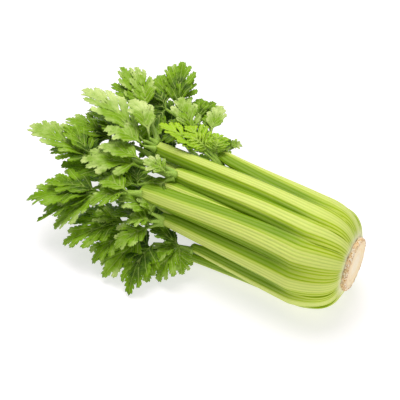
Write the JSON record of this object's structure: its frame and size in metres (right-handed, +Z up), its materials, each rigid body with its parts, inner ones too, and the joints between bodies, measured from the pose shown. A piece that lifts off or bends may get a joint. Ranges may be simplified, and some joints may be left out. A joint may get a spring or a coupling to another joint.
{
  "type": "head of celery",
  "caption": "Whole head of celery lying on its side, ribbed green stalks packed around a trimmed cream root base, fanning into toothed leaves.",
  "frame": {"origin": "middle of the whole head seen from above, on the surface it lies on", "axes": "+X along the bunch toward the trimmed root base with the leaves at -X, +Z up, +Y across the bunch toward its far side"},
  "size_m": [0.3674, 0.2256, 0.1148],
  "materials": {
    "stalk": "fresh, ribbed, softly glossy",
    "heart_stalk": "fresh, pale, softly glossy",
    "leaf": "fresh, satin",
    "young_leaf": "fresh, satin",
    "root_flesh": "cut, matt"
  },
  "bodies": {
    "root": {"leaf_a1": "leaf", "leaf_a2": "leaf", "leaf_a3": "leaf", "leaf_b1": "leaf", "leaf_b2": "leaf", "leaf_b3": "leaf", "leaf_b4": "leaf", "leaf_c1": "leaf", "leaf_c2": "leaf", "leaf_c3": "leaf", "leaf_c4": "leaf", "leaf_d1": "leaf", "leaf_e1": "leaf", "leaf_e2": "leaf", "leaf_f1": "leaf", "leaf_f2": "leaf", "leaf_f3": "leaf", "leaf_f4": "leaf", "leaf_g1": "leaf", "leaf_g2": "leaf", "leaf_h1": "leaf", "leaf_i1": "leaf", "leaf_j1": "leaf", "leaf_k1": "leaf", "leaf_k2": "leaf", "leaf_l1": "leaf", "leaf_l2": "leaf", "leaf_l3": "leaf", "leaf_m1": "leaf", "leaf_m2": "leaf", "leaf_n1": "leaf", "leaf_p1": "leaf", "leaf_q1": "young_leaf", "leaf_q2": "young_leaf", "leaf_q3": "young_leaf", "leaf_r1": "leaf", "leaf_t1": "leaf", "leaf_t2": "leaf", "root_base": "root_flesh", "stalk_a": "stalk", "stalk_b": "stalk", "stalk_c": "stalk", "stalk_d": "stalk", "stalk_e": "stalk", "stalk_f": "stalk", "stalk_g": "stalk", "stalk_h": "stalk", "stalk_i": "stalk", "stalk_j": "stalk", "stalk_k": "stalk", "stalk_l": "stalk", "stalk_m": "stalk", "stalk_n": "stalk", "stalk_o": "stalk", "stalk_p": "stalk", "stalk_q": "heart_stalk", "stalk_r": "heart_stalk", "stalk_s": "heart_stalk", "stalk_t": "stalk"}
  },
  "joints": []
}
